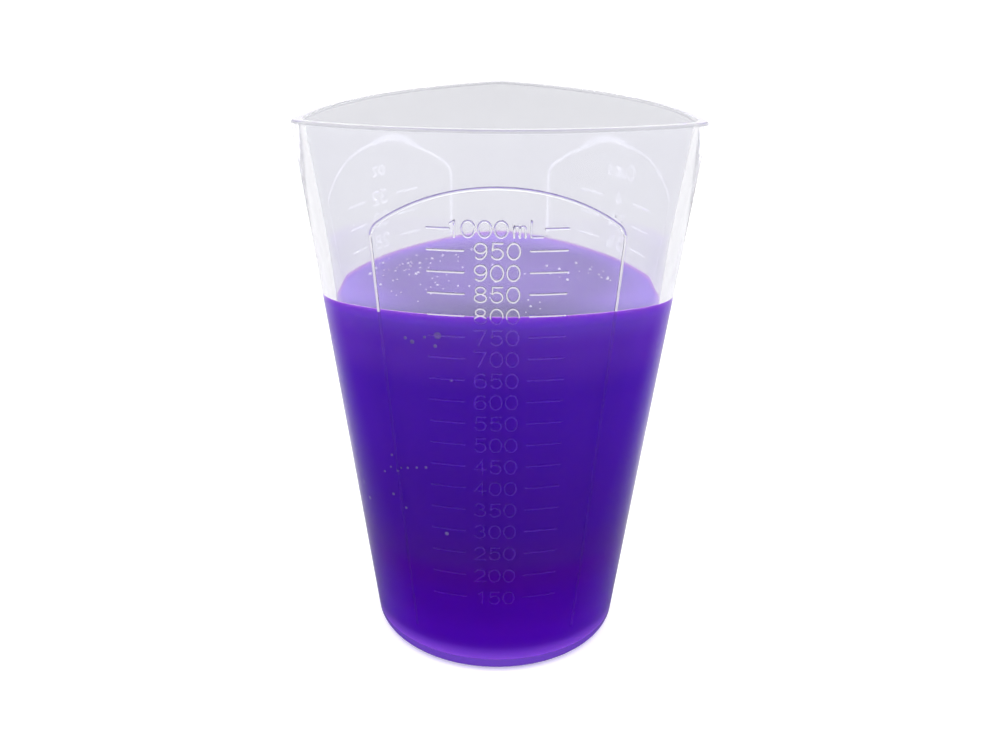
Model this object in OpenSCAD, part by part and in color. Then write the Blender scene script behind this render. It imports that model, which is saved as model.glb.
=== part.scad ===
// Graduated mixing cup with a round foot and a three-cornered pouring mouth, holding resin.
// Every level cut through the wall blends the circle of the foot with the outline of the mouth,
// so the wall is straight from foot to rim at every point round it. Front panel faces -Y.

/* [Cup] */
// Height from the table to the rim
cup_h = 179.5; // [120:0.5:240]
// Radius of the foot, measured where the wall would meet the table
foot_r = 42.2; // [34:0.1:50]
// Distance from the axis to the middle of each side of the mouth
side_reach = 49.5; // [43:0.5:56]
// Distance from the axis to the tip of each pouring corner
corner_reach = 67; // [58:0.5:82]
// Outer radius of each pouring corner
corner_r = 5.5; // [3:0.5:10]
// Inner radius of each pouring corner, where the wall is thicker
spout_r = 6.5; // [4:0.5:14]
// Thickness of the wall at the rim, measured level
wall = 3.1; // [1.8:0.1:4]
// Thickness of the wall at the foot, measured level
wall_foot = 1.8; // [1.2:0.1:3]
// Thickness of the floor
floor_t = 2.4; // [1.5:0.1:6]
// Radius round the outside of the foot
foot_round = 3.4; // [1:0.1:6]
// Radius between the floor and the wall inside
floor_round = 5; // [2:0.5:10]
// Radius on both edges of the rim
rim_round = 0.9; // [0.3:0.1:0.9]

/* [Resin] */
// Volume of the resin in the cup, in millilitres
resin_ml = 790; // [100:5:1100]
// Gap all round the resin
resin_gap = 0.3; // [0.3:0.1:1]

/* [Panels] */
// Distance from the rim down to the top of each panel's arch
rim_gap = 15.5; // [8:0.5:30]
// Radius of the arch
arch_r = 58; // [50:1:70]
// Radius of the corner between the arch and each side line
shoulder_r = 6; // [3:0.5:10]
// Height at which the side lines end above the foot
panel_foot = 14; // [8:1:30]
// Distance of the side lines from the panel's middle at the shoulder
panel_top_w = 36.8; // [30:0.2:40]
// Distance of the side lines from the panel's middle at their feet
panel_foot_w = 27.2; // [24:0.2:32]
// Width of the raised border
border_w = 1; // [0.6:0.1:2]

/* [Scales] */
// Height of the figures
figure_h = 5; // [3:0.1:7]
// Distance from one figure to the next
figure_pitch = 4.6; // [3:0.1:7]
// Width of each raised stroke
stroke_w = 0.6; // [0.4:0.05:0.9]
// Height of the strokes and borders above the wall
relief = 0.35; // [0.2:0.05:0.8]
// Distance from the top of the arch down to the top millilitre row, or to a heading
head_room = 8.4; // [6:0.2:14]
// Distance from a heading down to the row under it
heading_drop = 8; // [7:0.2:14]
// Distance from the panel's middle to the near end of a level line
line_near = 9.4; // [8:0.2:12]
// Distance from the panel's middle to the far end of a level line
line_far = 19.7; // [15:0.1:24]

/* [Hidden] */
// Depth to which the raised features root in the wall
root = 0.25;
// Facets along each side and round each corner
side_steps = 18;
corner_steps = 12;
// Steps round the rim and foot edges
edge_steps = 5;
// Steps along a border's side, shoulder and arch
side_run = 10;
shoulder_run = 6;
arch_run = 14;

// The top millilitre row: places of the last figure and of the unit, and its shorter lines
top_last_s = 1.1;
top_unit_s = 8.6;
unit_pitch = 4.8;
top_line_near = 13.4;
heading_pitch = 4;
// A mixed number: places of the whole figure and of the fraction, and the fraction's size
whole_s = -2.6;
fraction_s = 2.2;
fraction_h = 0.5 * figure_h;
fraction_up = 0.24 * figure_h;
fraction_out = 1.5;
slash_h = 0.9 * figure_h;

// Volumes of a cup and of an ounce, and the steps and lowest rows of the three scales
cup_ml = 236.588;
ounce_ml = 29.5735;
ml_step = 50;
ml_first = 150;
cup_step = 0.25;
cup_first = 0.5;
ounce_step = 2;
ounce_first = 4;

// An outline is [centre offset of a side, radius of a side, centre offset of a corner,
// radius of a corner, half angle of a side, radius of the matching circle at the foot]
function half_angle(side_c, corner_c) = atan2(sqrt(0.75) * corner_c, 0.5 * corner_c + side_c);
corner_c = corner_reach - corner_r;
side_s = side_reach - corner_r;
side_c = (corner_c * corner_c - side_s * side_s) / (2 * side_s - corner_c);
side_r = side_reach + side_c;
outer = [side_c, side_r, corner_c, corner_r, half_angle(side_c, corner_c), foot_r];
spout_reach = side_r - wall - spout_r;
spout_c = (-side_c + sqrt(4 * spout_reach * spout_reach - 3 * side_c * side_c)) / 2;
inner = [side_c, side_r - wall, spout_c, spout_r, half_angle(side_c, spout_c), foot_r - wall_foot];

// Points round the level cut at height z, moved outwards by grow
function level(o, z, grow) = let (u = z / cup_h) [
    for (k = [0:2])
        let (face = 270 + 120 * k, tip = face + 60)
        for (j = [0:side_steps + corner_steps - 1])
            let (
                on_side = j <= side_steps,
                a = on_side ? face - o[4] + 2 * o[4] * j / side_steps
                    : face + o[4] + 2 * (60 - o[4]) * (j - side_steps) / corner_steps,
                r = (1 - u) * o[5] + u * (on_side ? o[1] : o[3]) + grow,
                c = on_side ? -u * o[0] * [cos(face), sin(face)] : u * o[2] * [cos(tip), sin(tip)]
            )
            [c.x + r * cos(a), c.y + r * sin(a), z]
];

// A closed solid through rings that all have the same number of points
module skin(rings) {
    n = len(rings[0]);
    last = len(rings) - 1;
    polyhedron(
        points = [for (ring = rings) each ring],
        faces = concat(
            [[for (i = [0:n - 1]) i]],
            [for (k = [0:last - 1], i = [0:n - 1])
                each [
                    [k * n + i, (k + 1) * n + i, (k + 1) * n + (i + 1) % n],
                    [k * n + i, (k + 1) * n + (i + 1) % n, k * n + (i + 1) % n]
                ]],
            [[for (i = [n - 1:-1:0]) last * n + i]]
        ),
        convexity = 6
    );
}

// Rings of a rounded edge that turns from level at height z to upright, r being its radius
function foot_edge(o, z, r, grow) = [
    for (i = [0:edge_steps])
        let (a = 90 * i / edge_steps)
        level(o, z + r * (1 - cos(a)), grow - r * (1 - sin(a)))
];
function rim_edge(o, z, r, side) = [
    for (i = [0:edge_steps])
        let (a = 90 * i / edge_steps)
        level(o, z - r * (1 - sin(a)), side * r * (1 - cos(a)))
];

module cup_form() {
    skin(concat(
        foot_edge(outer, 0, foot_round, 0),
        rim_edge(outer, cup_h, rim_round, -1)
    ));
}

module cavity_form(gap, top) {
    skin(concat(
        foot_edge(inner, floor_t + gap, floor_round, -gap),
        top
    ));
}

module cup_shell() {
    color([0.86, 0.86, 0.93, 0.45])
        difference() {
            cup_form();
            cavity_form(0, concat(
                rim_edge(inner, cup_h, rim_round, 1),
                [level(inner, cup_h + 1, rim_round)]
            ));
        }
}

module resin_fill() {
    color([0.33, 0.05, 0.66, 0.9])
        intersection() {
            cavity_form(resin_gap, [level(inner, cup_h, -resin_gap)]);
            translate([-2 * foot_r, -2 * foot_r, 0])
                cube([4 * foot_r, 4 * foot_r, height_of(resin_ml)]);
        }
}

// Volume under height z in millilitres. The level cut's area is a quadratic in u = z / cup_h.
mouth = level(inner, cup_h, 0);
mouth_area = abs([for (i = [0:len(mouth) - 1])
    let (p = mouth[i], q = mouth[(i + 1) % len(mouth)]) (p.x * q.y - p.y * q.x) / 2]
    * [for (p = mouth) 1]);
mouth_girth = [for (i = [0:len(mouth) - 1]) norm(mouth[(i + 1) % len(mouth)] - mouth[i])]
    * [for (p = mouth) 1];
function volume_to(u) = cup_h / 1000 * (
    PI * inner[5] * inner[5] * (u - u * u + u * u * u / 3)
    + inner[5] * mouth_girth * (u * u / 2 - u * u * u / 3)
    + mouth_area * u * u * u / 3
);
function height_of(ml, low = 0, high = 1, n = 24) = let (mid = (low + high) / 2)
    n == 0 ? mid * cup_h
    : volume_to(mid) - volume_to(floor_t / cup_h) < ml ? height_of(ml, mid, high, n - 1)
    : height_of(ml, low, mid, n - 1);

// The highest row of each scale that fits under the arch
arch_top = cup_h - rim_gap;
head_z = arch_top - head_room;
function ml_under(z) = volume_to(z / cup_h) - volume_to(floor_t / cup_h);
function top_row(z, size, step) = step * floor(ml_under(z) / size / step);
ml_top = top_row(head_z, 1, ml_step);
cup_top = top_row(head_z - heading_drop, cup_ml, cup_step);
ounce_top = top_row(head_z - heading_drop, ounce_ml, ounce_step);

// Radius of the panel's side at height z, and its centre's distance from the axis
function panel_r(z) = foot_r + (side_r - foot_r) * z / cup_h;
function panel_c(z) = side_c * z / cup_h;
function turn(s, z) = s / panel_r(z) * 180 / PI;
function lean(a) = atan((side_r - foot_r - side_c * cos(a)) / cup_h);

// Puts children on the wall at distance s along the panel and height z, facing outwards
module on_wall(s, z) {
    a = turn(s, z);
    translate([0, panel_c(z), z])
        rotate([0, 0, a])
            translate([0, -panel_r(z), 0])
                rotate([90 + lean(a), 0, 0])
                    children();
}

// Border of a panel, as points [distance along the panel, height]
shoulder_z = arch_top - arch_r + sqrt(pow(arch_r, 2) - pow(panel_top_w, 2));
side_tilt = atan((panel_top_w - panel_foot_w) / (shoulder_z - panel_foot));
arch_mid = arch_top - arch_r;
// Centre of the shoulder's round: shoulder_r inside the side line, and inside the arch
edge_off = (panel_foot_w - shoulder_r / cos(side_tilt)) + (arch_mid - panel_foot) * tan(side_tilt);
mid_b = edge_off * tan(side_tilt);
mid_a = 1 + pow(tan(side_tilt), 2);
mid_c = edge_off * edge_off - pow(arch_r - shoulder_r, 2);
mid_z = (-mid_b + sqrt(mid_b * mid_b - mid_a * mid_c)) / mid_a;
shoulder_mid = [edge_off + mid_z * tan(side_tilt), arch_mid + mid_z];
shoulder_end = atan2(mid_z, shoulder_mid.x);
border_half = concat(
    [for (i = [0:side_run])
        let (end = shoulder_mid + shoulder_r * [cos(side_tilt), -sin(side_tilt)])
        [panel_foot_w, panel_foot] + i / side_run * (end - [panel_foot_w, panel_foot])],
    [for (i = [1:shoulder_run])
        let (a = -side_tilt + (shoulder_end + side_tilt) * i / shoulder_run)
        shoulder_mid + shoulder_r * [cos(a), sin(a)]],
    [for (i = [1:arch_run])
        let (a = shoulder_end + (90 - shoulder_end) * i / arch_run)
        [arch_r * cos(a), arch_mid + arch_r * sin(a)]]
);
border_path = concat(
    border_half,
    [for (i = [len(border_half) - 2:-1:0]) [-border_half[i].x, border_half[i].y]]
);
border_cut = [
    [-border_w / 2, -root], [-border_w / 2, relief * 0.4], [-border_w / 4, relief],
    [border_w / 4, relief], [border_w / 2, relief * 0.4], [border_w / 2, -root]
];

function wall_point(s, z, out) = let (a = turn(s, z), t = lean(a), r = panel_r(z) + out * cos(t))
    [r * sin(a), panel_c(z) - r * cos(a), z - out * sin(t)];

// The border's cut stands square to its path and to the wall
function border_ring(i) = let (
    last = len(border_path) - 1,
    along = border_path[min(i + 1, last)] - border_path[max(i - 1, 0)],
    across = [along.y, -along.x] / norm(along),
    p = border_path[i]
) [for (q = border_cut) wall_point(p.x + q.x * across.x, p.y + q.x * across.y, q.y)];

module border() {
    color([0.93, 0.93, 0.98, 0.7])
        skin([for (i = [0:len(border_path) - 1]) border_ring(i)]);
}

// Strokes of a figure on a box 4 wide and 5 high round its middle:
// [x, y, radius, from, to] is an arc and [x1, y1, x2, y2] is a bar
function strokes(ch) =
    ch == "0" ? [[0, 0.5, 1.75, 0, 180], [0, -0.5, 1.75, 180, 360],
        [-1.75, -0.5, -1.75, 0.5], [1.75, -0.5, 1.75, 0.5]]
    : ch == "1" ? [[0.8, -2.25, 0.8, 2.25], [-0.3, 1.3, 0.8, 2.25]]
    : ch == "2" ? [[0, 0.75, 1.5, -35, 170], [1.23, -0.11, -1.5, -2.25], [-1.6, -2.25, 1.6, -2.25]]
    : ch == "3" ? [[0, 1.15, 1.1, -90, 160], [0, -0.95, 1.3, -160, 90], [-0.6, 0.2, 0.1, 0.2]]
    : ch == "4" ? [[0.7, -2.25, 0.7, 2.25], [0.7, 2.25, -1.6, -0.9], [-1.6, -0.9, 1.6, -0.9]]
    : ch == "5" ? [[-1.1, 2.25, 1.4, 2.25], [-1.1, 2.25, -1.2, 0.15], [0, -0.75, 1.5, -155, 143]]
    : ch == "6" ? [[0, -0.8, 1.45, 0, 360], [2.05, -0.8, 3.5, 120, 180]]
    : ch == "7" ? [[-1.6, 2.25, 1.6, 2.25], [1.6, 2.25, -0.5, -2.25]]
    : ch == "8" ? [[0, 1.2, 1.05, 0, 360], [0, -1.05, 1.2, 0, 360]]
    : ch == "9" ? [[0, 0.8, 1.45, 0, 360], [-2.05, 0.8, 3.5, -60, 0]]
    : ch == "m" ? [[-1.6, -2.25, -1.6, 0.8], [0, -2.25, 0, 0], [1.6, -2.25, 1.6, 0],
        [-0.8, 0, 0.8, 0, 180], [0.8, 0, 0.8, 0, 180]]
    : ch == "L" ? [[-1.6, -2.25, -1.6, 2.25], [-1.6, -2.25, 1.6, -2.25]]
    : ch == "C" ? [[0, 0.5, 1.75, 30, 180], [0, -0.5, 1.75, 180, 330], [-1.75, -0.5, -1.75, 0.5]]
    : ch == "u" ? [[0, -1.05, 1.2, 180, 360], [-1.2, -1.05, -1.2, 0.8], [1.2, -2.25, 1.2, 0.8]]
    : ch == "p" ? [[0, -0.8, 1.35, 0, 360], [-1.35, -3.6, -1.35, 0.8]]
    : ch == "s" ? [[0, -0.05, 0.75, 20, 270], [0, -1.55, 0.75, -160, 90]]
    : ch == "o" ? [[0, -0.8, 1.4, 0, 360]]
    : ch == "z" ? [[-1.2, 0.6, 1.2, 0.6], [1.2, 0.6, -1.2, -2.25], [-1.2, -2.25, 1.2, -2.25]]
    : ch == "/" ? [[-0.9, -2.25, 0.9, 2.25]]
    : [];

module stroke(q) {
    if (len(q) == 5)
        translate([q[0], q[1], -root])
            rotate([0, 0, q[3]])
                rotate_extrude(angle = q[4] - q[3], $fn = 48)
                    translate([q[2] - stroke_w / 2, 0])
                        square([stroke_w, root + relief]);
    else
        translate([q[0], q[1], -root])
            rotate([0, 0, atan2(q[3] - q[1], q[2] - q[0])])
                translate([-stroke_w / 2, -stroke_w / 2, 0])
                    cube([norm([q[2] - q[0], q[3] - q[1]]) + stroke_w, stroke_w, root + relief]);
}

// One figure on the wall, size being its height
module figure(ch, s, z, size) {
    k = size / 5;
    on_wall(s, z)
        union()
            for (q = strokes(ch))
                stroke(len(q) == 5 ? [q[0] * k, q[1] * k, q[2] * k, q[3], q[4]] : q * k);
}

// A row of figures centred on the panel's middle plus shift
module word(chars, z, shift = 0, pitch = figure_pitch) {
    for (i = [0:len(chars) - 1])
        figure(chars[i], shift + (i - (len(chars) - 1) / 2) * pitch, z, figure_h);
}

// A pair of level lines, one on each side of the figures
module level_lines(z, near) {
    for (a = [turn(near, z), -turn(line_far, z)])
        translate([0, panel_c(z), z])
            rotate([0, 0, 270 + a])
                rotate_extrude(angle = turn(line_far - near, z), $fn = 96)
                    translate([panel_r(z) - root, -stroke_w / 2])
                        square([root + relief, stroke_w]);
}

// A fraction of a cup, as small figures on each side of a stroke
module fraction(q, s, z) {
    figure(q == 0.75 ? "3" : "1", s - fraction_out, z + fraction_up, fraction_h);
    figure("/", s, z, slash_h);
    figure(q == 0.5 ? "2" : "4", s + fraction_out, z - fraction_up, fraction_h);
}

module scale_ml() {
    digits = str(ml_top);
    top_z = height_of(ml_top);
    color([0.95, 0.95, 0.99, 0.8]) {
        for (v = [ml_first:ml_step:ml_top - ml_step]) {
            word(str(v), height_of(v));
            level_lines(height_of(v), line_near);
        }
        for (i = [0:len(digits) - 1])
            figure(digits[i], top_last_s - (len(digits) - 1 - i) * figure_pitch, top_z, figure_h);
        word("mL", top_z, top_unit_s, unit_pitch);
        level_lines(top_z, top_line_near);
    }
}

module scale_cups() {
    color([0.95, 0.95, 0.99, 0.8])
        rotate([0, 0, 120]) {
            for (v = [cup_first:cup_step:cup_top]) {
                z = height_of(v * cup_ml);
                whole = floor(v);
                part = v - whole;
                if (whole > 0)
                    figure(str(whole), part > 0 ? whole_s : 0, z, figure_h);
                if (part > 0)
                    fraction(part, whole > 0 ? fraction_s : 0, z);
                level_lines(z, line_near);
            }
            word("Cups", head_z, 0, heading_pitch);
        }
}

module scale_oz() {
    color([0.95, 0.95, 0.99, 0.8])
        rotate([0, 0, 240]) {
            for (v = [ounce_first:ounce_step:ounce_top]) {
                word(str(v), height_of(v * ounce_ml));
                level_lines(height_of(v * ounce_ml), line_near);
            }
            word("oz", head_z, 0, heading_pitch);
        }
}

module border_ml() border();
module border_cups() rotate([0, 0, 120]) border();
module border_oz() rotate([0, 0, 240]) border();

cup_shell();
border_ml();
border_cups();
border_oz();
scale_ml();
scale_cups();
scale_oz();
resin_fill();
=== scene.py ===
import math
import random

import bmesh
import bpy
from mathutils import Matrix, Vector


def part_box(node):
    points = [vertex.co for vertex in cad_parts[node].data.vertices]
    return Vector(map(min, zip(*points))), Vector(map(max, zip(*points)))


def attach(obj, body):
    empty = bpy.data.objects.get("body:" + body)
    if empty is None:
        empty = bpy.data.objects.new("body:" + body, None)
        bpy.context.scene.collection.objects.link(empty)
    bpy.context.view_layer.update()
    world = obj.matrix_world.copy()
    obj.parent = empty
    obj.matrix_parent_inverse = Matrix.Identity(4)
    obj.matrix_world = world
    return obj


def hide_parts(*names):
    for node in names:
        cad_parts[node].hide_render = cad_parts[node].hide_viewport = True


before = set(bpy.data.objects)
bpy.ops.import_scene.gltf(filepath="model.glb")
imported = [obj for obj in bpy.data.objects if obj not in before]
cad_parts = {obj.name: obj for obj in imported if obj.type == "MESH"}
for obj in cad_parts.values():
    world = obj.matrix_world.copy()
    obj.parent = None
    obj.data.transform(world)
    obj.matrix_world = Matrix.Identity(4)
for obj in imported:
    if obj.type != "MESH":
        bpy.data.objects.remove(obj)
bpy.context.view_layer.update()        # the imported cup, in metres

cupLow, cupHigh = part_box("cup_shell")
print("cup: frame loaded,", len(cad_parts), "nodes")

# lengths below are in millimetres and become metres as each mesh is made
cup = {
    "height": cupHigh[2] * 1000,
    "sideReach": -cupLow[1] * 1000,
    "cornerReach": cupHigh[1] * 1000,
    "cornerRadius": 5.5,
    "spoutRadius": 6.5,      # inside of the corners, where the wall is thicker
    "footRadius": 42.2,
    "rimWall": 3.1,
    "footWall": 1.8,
    "floor": 2.4,
    "footRound": 3.4,
    "floorRound": 5.0,
    "rimRound": 0.9,
    "sideSteps": 84,
    "cornerSteps": 44,
    "edgeSteps": 10,
    "wallStep": 4.0,
    "discShares": (0.3, 0.7, 0.97),      # rings of a flat disc, against the ring round it
    "footRows": 3,           # rows of the foot edge painted darker: a painted contact shadow
}
resin = {
    "level": 125.79,          # about 790 mL
    "seat": 0.05,             # how far it reaches into the wall, so no air shows between
    "meniscus": 0.6,
    "meniscusWidth": 1.0,
    "ringsIn": (0.12, 0.3, 0.55, 0.85, 1.2, 1.7, 2.4, 3.4, 5.0, 8.0),    # from the wall
    "surfaceShares": (0.8, 0.5, 0.2),
}


def mouthOutline(sideOffset, sideRadius, cornerOffset, cornerRadius, footRadius):
    half = math.atan2(math.sqrt(0.75) * cornerOffset, 0.5 * cornerOffset + sideOffset)
    return {
        "sideOffset": sideOffset,
        "sideRadius": sideRadius,
        "cornerOffset": cornerOffset,
        "cornerRadius": cornerRadius,
        "footRadius": footRadius,
        "half": half,
    }


cornerOffset = cup["cornerReach"] - cup["cornerRadius"]
sideChord = cup["sideReach"] - cup["cornerRadius"]
sideOffset = (cornerOffset ** 2 - sideChord ** 2) / (2 * sideChord - cornerOffset)
sideRadius = cup["sideReach"] + sideOffset
spoutReach = sideRadius - cup["rimWall"] - cup["spoutRadius"]
spoutOffset = (-sideOffset + math.sqrt(4 * spoutReach ** 2 - 3 * sideOffset ** 2)) / 2
outer = mouthOutline(sideOffset, sideRadius, cornerOffset, cup["cornerRadius"], cup["footRadius"])
inner = mouthOutline(
    sideOffset,
    sideRadius - cup["rimWall"],
    spoutOffset,
    cup["spoutRadius"],
    cup["footRadius"] - cup["footWall"],
)


def levelRing(shape, z, grow):
    u = z / cup["height"]
    ring = []
    for k in range(3):
        face = math.radians(270 + 120 * k)
        tip = face + math.pi / 3
        steps = cup["sideSteps"] + cup["cornerSteps"]
        for j in range(steps):
            if j <= cup["sideSteps"]:
                angle = face + shape["half"] * (2 * j / cup["sideSteps"] - 1)
                radius = (1 - u) * shape["footRadius"] + u * shape["sideRadius"] + grow
                x = -u * shape["sideOffset"] * math.cos(face)
                y = -u * shape["sideOffset"] * math.sin(face)
            else:
                share = (j - cup["sideSteps"]) / cup["cornerSteps"]
                angle = face + shape["half"] + 2 * (math.pi / 3 - shape["half"]) * share
                radius = (1 - u) * shape["footRadius"] + u * shape["cornerRadius"] + grow
                x = u * shape["cornerOffset"] * math.cos(tip)
                y = u * shape["cornerOffset"] * math.sin(tip)
            ring.append((x + radius * math.cos(angle), y + radius * math.sin(angle), z))
    return ring


def footEdge(shape, z, radius, grow):
    rings = []
    for i in range(cup["edgeSteps"] + 1):
        a = math.pi / 2 * i / cup["edgeSteps"]
        rise = radius * (1 - math.cos(a))
        rings.append(levelRing(shape, z + rise, grow - radius * (1 - math.sin(a))))
    return rings


def rimEdge(shape, radius, side):
    rings = []
    for i in range(cup["edgeSteps"] + 1):
        a = math.pi / 2 * i / cup["edgeSteps"]
        drop = radius * (1 - math.sin(a))
        rings.append(levelRing(shape, cup["height"] - drop, side * radius * (1 - math.cos(a))))
    return rings


def straightWall(shape, low, high, grow):
    count = max(2, round((high - low) / cup["wallStep"]))
    return [levelRing(shape, low + (high - low) * i / count, grow) for i in range(1, count)]


def shrunkRings(ring, shares):
    return [[(x * k, y * k, z) for x, y, z in ring] for k in shares]


def newPiece(name, bm, materials, body, nodes):
    for v in bm.verts:
        v.co *= 0.001
    bm.normal_update()
    mesh = bpy.data.meshes.new(name)
    bm.to_mesh(mesh)
    bm.free()
    for material in materials:
        mesh.materials.append(material)
    mesh.polygons.foreach_set("use_smooth", [True] * len(mesh.polygons))
    piece = bpy.data.objects.new(name, mesh)
    bpy.context.scene.collection.objects.link(piece)
    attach(piece, body)
    if nodes:
        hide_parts(*nodes)


def loft(bm, rings, firstCentre, lastCentre):
    made = [[bm.verts.new(p) for p in ring] for ring in rings]
    count = len(made[0])
    faces = []
    for low, high in zip(made, made[1:]):
        row = []
        for i in range(count):
            n = (i + 1) % count
            row.append(bm.faces.new((low[i], low[n], high[n], high[i])))
        faces.append(row)
    if firstCentre:
        middle = bm.verts.new(firstCentre)
        faces.append([bm.faces.new((middle, made[0][(i + 1) % count], made[0][i])) for i in range(count)])
    if lastCentre:
        middle = bm.verts.new(lastCentre)
        faces.append([bm.faces.new((middle, made[-1][i], made[-1][(i + 1) % count])) for i in range(count)])
    return faces


# shared effects
def addSocket(group, name, direction, kind, value=None):
    made = group.interface.new_socket(name=name, in_out=direction, socket_type=kind)
    if value is not None:
        made.default_value = value
    return made


def buildMouldMottle():
    group = bpy.data.node_groups.new("mouldMottle", "ShaderNodeTree")
    addSocket(group, "Streak Scale", "INPUT", "NodeSocketFloat", 30.0)
    addSocket(group, "Grain Scale", "INPUT", "NodeSocketFloat", 900.0)
    addSocket(group, "Grain Share", "INPUT", "NodeSocketFloat", 0.25)
    addSocket(group, "Mottle", "OUTPUT", "NodeSocketFloat")
    addSocket(group, "Height", "OUTPUT", "NodeSocketFloat")
    nodes, links = group.nodes, group.links
    enter = nodes.new("NodeGroupInput")
    leave = nodes.new("NodeGroupOutput")
    place = nodes.new("ShaderNodeTexCoord")
    stretch = nodes.new("ShaderNodeMapping")
    stretch.inputs["Scale"].default_value = (1.0, 1.0, 0.35)     # flow lines run up the wall
    streaks = nodes.new("ShaderNodeTexNoise")
    streaks.inputs["Detail"].default_value = 4.0
    grain = nodes.new("ShaderNodeTexNoise")
    grain.inputs["Detail"].default_value = 2.0
    blend = nodes.new("ShaderNodeMix")
    links.new(place.outputs["Object"], stretch.inputs["Vector"])
    links.new(stretch.outputs["Vector"], streaks.inputs["Vector"])
    links.new(place.outputs["Object"], grain.inputs["Vector"])
    links.new(enter.outputs["Streak Scale"], streaks.inputs["Scale"])
    links.new(enter.outputs["Grain Scale"], grain.inputs["Scale"])
    links.new(enter.outputs["Grain Share"], blend.inputs["Factor"])
    links.new(streaks.outputs["Fac"], blend.inputs["A"])
    links.new(grain.outputs["Fac"], blend.inputs["B"])
    links.new(streaks.outputs["Fac"], leave.inputs["Mottle"])
    links.new(blend.outputs["Result"], leave.inputs["Height"])
    return group


mouldMottle = buildMouldMottle()

resinLook = {
    "tones": (                 # height in millimetres, then the colour there: the resin's violet with painted light, lighter near the foot and towards the level
        (4, (0.17, 0.025, 0.56)),
        (12, (0.118, 0.003, 0.56)),
        (25, (0.098, 0.002, 0.48)),
        (36, (0.098, 0.004, 0.41)),
        (43, (0.090, 0.012, 0.38)),
        (56, (0.085, 0.011, 0.42)),
        (100, (0.100, 0.015, 0.51)),
        (115, (0.150, 0.038, 0.55)),
        (127, (0.200, 0.085, 0.55)),
    ),
    # painted light: the free surface has a colour of its own apart from the sides, lighter towards the wall
    "surface": (0.132, 0.079, 0.33),
    "surfaceEdgePaintedLight": (0.26, 0.155, 0.68),
    "frontShade": (0.26, 0.27, 0.33),
    "gloss": 0.3,
    "glow": (0.13, 0.055, 0.34),
    "glowTop": 9.0,
    "glowFull": 3.0,
    "toneTop": 130.0,
    "lightEdge": (0.032, 0.052),         # metres from the axis, where the painted light towards the wall comes in
    "darkFront": (-0.022, -0.046),       # metres towards the front panel
    "levelNormal": (0.15, 0.5),
    "clouds": (0.93, 0.92, 0.95),
    "ior": 1.5,
    "streakScale": 25.0,
    "grainScale": 500.0,
    "grainShare": 0.1,
    "bumpDepth": 0.0003,
    "bumpStrength": 0.02,
}


# the resin's violet by height, with painted light near the foot and towards the level
def buildResinTones():
    group = bpy.data.node_groups.new("resinTonesAndPaintedLight", "ShaderNodeTree")
    addSocket(group, "Lighten", "INPUT", "NodeSocketFloat", 1.0)
    addSocket(group, "Colour", "OUTPUT", "NodeSocketColor")
    nodes, links = group.nodes, group.links
    enter = nodes.new("NodeGroupInput")
    leave = nodes.new("NodeGroupOutput")
    where = nodes.new("ShaderNodeTexCoord")
    split = nodes.new("ShaderNodeSeparateXYZ")
    height = nodes.new("ShaderNodeMapRange")
    height.inputs["From Max"].default_value = resinLook["toneTop"] / 1000
    tones = nodes.new("ShaderNodeValToRGB")
    tones.color_ramp.interpolation = "EASE"
    for i, (z, colour) in enumerate(resinLook["tones"]):
        place = z / resinLook["toneTop"]
        stop = tones.color_ramp.elements[i] if i < 2 else tones.color_ramp.elements.new(place)
        stop.position = place
        stop.color = (*colour, 1)
    scaled = nodes.new("ShaderNodeVectorMath")
    scaled.operation = "SCALE"
    links.new(where.outputs["Object"], split.inputs["Vector"])
    links.new(split.outputs["Z"], height.inputs["Value"])
    links.new(height.outputs["Result"], tones.inputs["Fac"])
    links.new(tones.outputs["Color"], scaled.inputs["Vector"])
    links.new(enter.outputs["Lighten"], scaled.inputs["Scale"])
    links.new(scaled.outputs["Vector"], leave.inputs["Colour"])
    return group


resinTonesAndPaintedLight = buildResinTones()


def newMaterial(name):
    material = bpy.data.materials.new(name)
    material.use_nodes = True
    tree = material.node_tree
    shader = next(n for n in tree.nodes if n.type == "BSDF_PRINCIPLED")
    return material, tree, shader


def addMottle(tree, look):
    mottle = tree.nodes.new("ShaderNodeGroup")
    mottle.node_tree = mouldMottle
    mottle.inputs["Streak Scale"].default_value = look["streakScale"]
    mottle.inputs["Grain Scale"].default_value = look["grainScale"]
    mottle.inputs["Grain Share"].default_value = look["grainShare"]
    return mottle


def addColourMix(tree, factor, first, second):
    colours = tree.nodes.new("ShaderNodeMix")
    colours.data_type = "RGBA"
    for side, colour in (("A", first), ("B", second)):
        if isinstance(colour, tuple):
            colours.inputs[side].default_value = (*colour, 1)
        else:
            tree.links.new(colour, colours.inputs[side])
    tree.links.new(factor, colours.inputs["Factor"])
    return colours.outputs["Result"]


def addProduct(tree, first, second):
    both = tree.nodes.new("ShaderNodeMix")
    both.data_type = "RGBA"
    both.blend_type = "MULTIPLY"
    both.inputs["Factor"].default_value = 1.0
    tree.links.new(first, both.inputs["A"])
    tree.links.new(second, both.inputs["B"])
    return both.outputs["Result"]


def addRange(tree, value, low, high):
    ranged = tree.nodes.new("ShaderNodeMapRange")
    ranged.inputs["To Min"].default_value = low
    ranged.inputs["To Max"].default_value = high
    tree.links.new(value, ranged.inputs["Value"])
    return ranged.outputs["Result"]


def addMask(tree, value, low, high, shape="LINEAR"):
    mask = tree.nodes.new("ShaderNodeMapRange")
    mask.interpolation_type = shape
    mask.inputs["From Min"].default_value = low
    mask.inputs["From Max"].default_value = high
    tree.links.new(value, mask.inputs["Value"])
    return mask.outputs["Result"]


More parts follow.
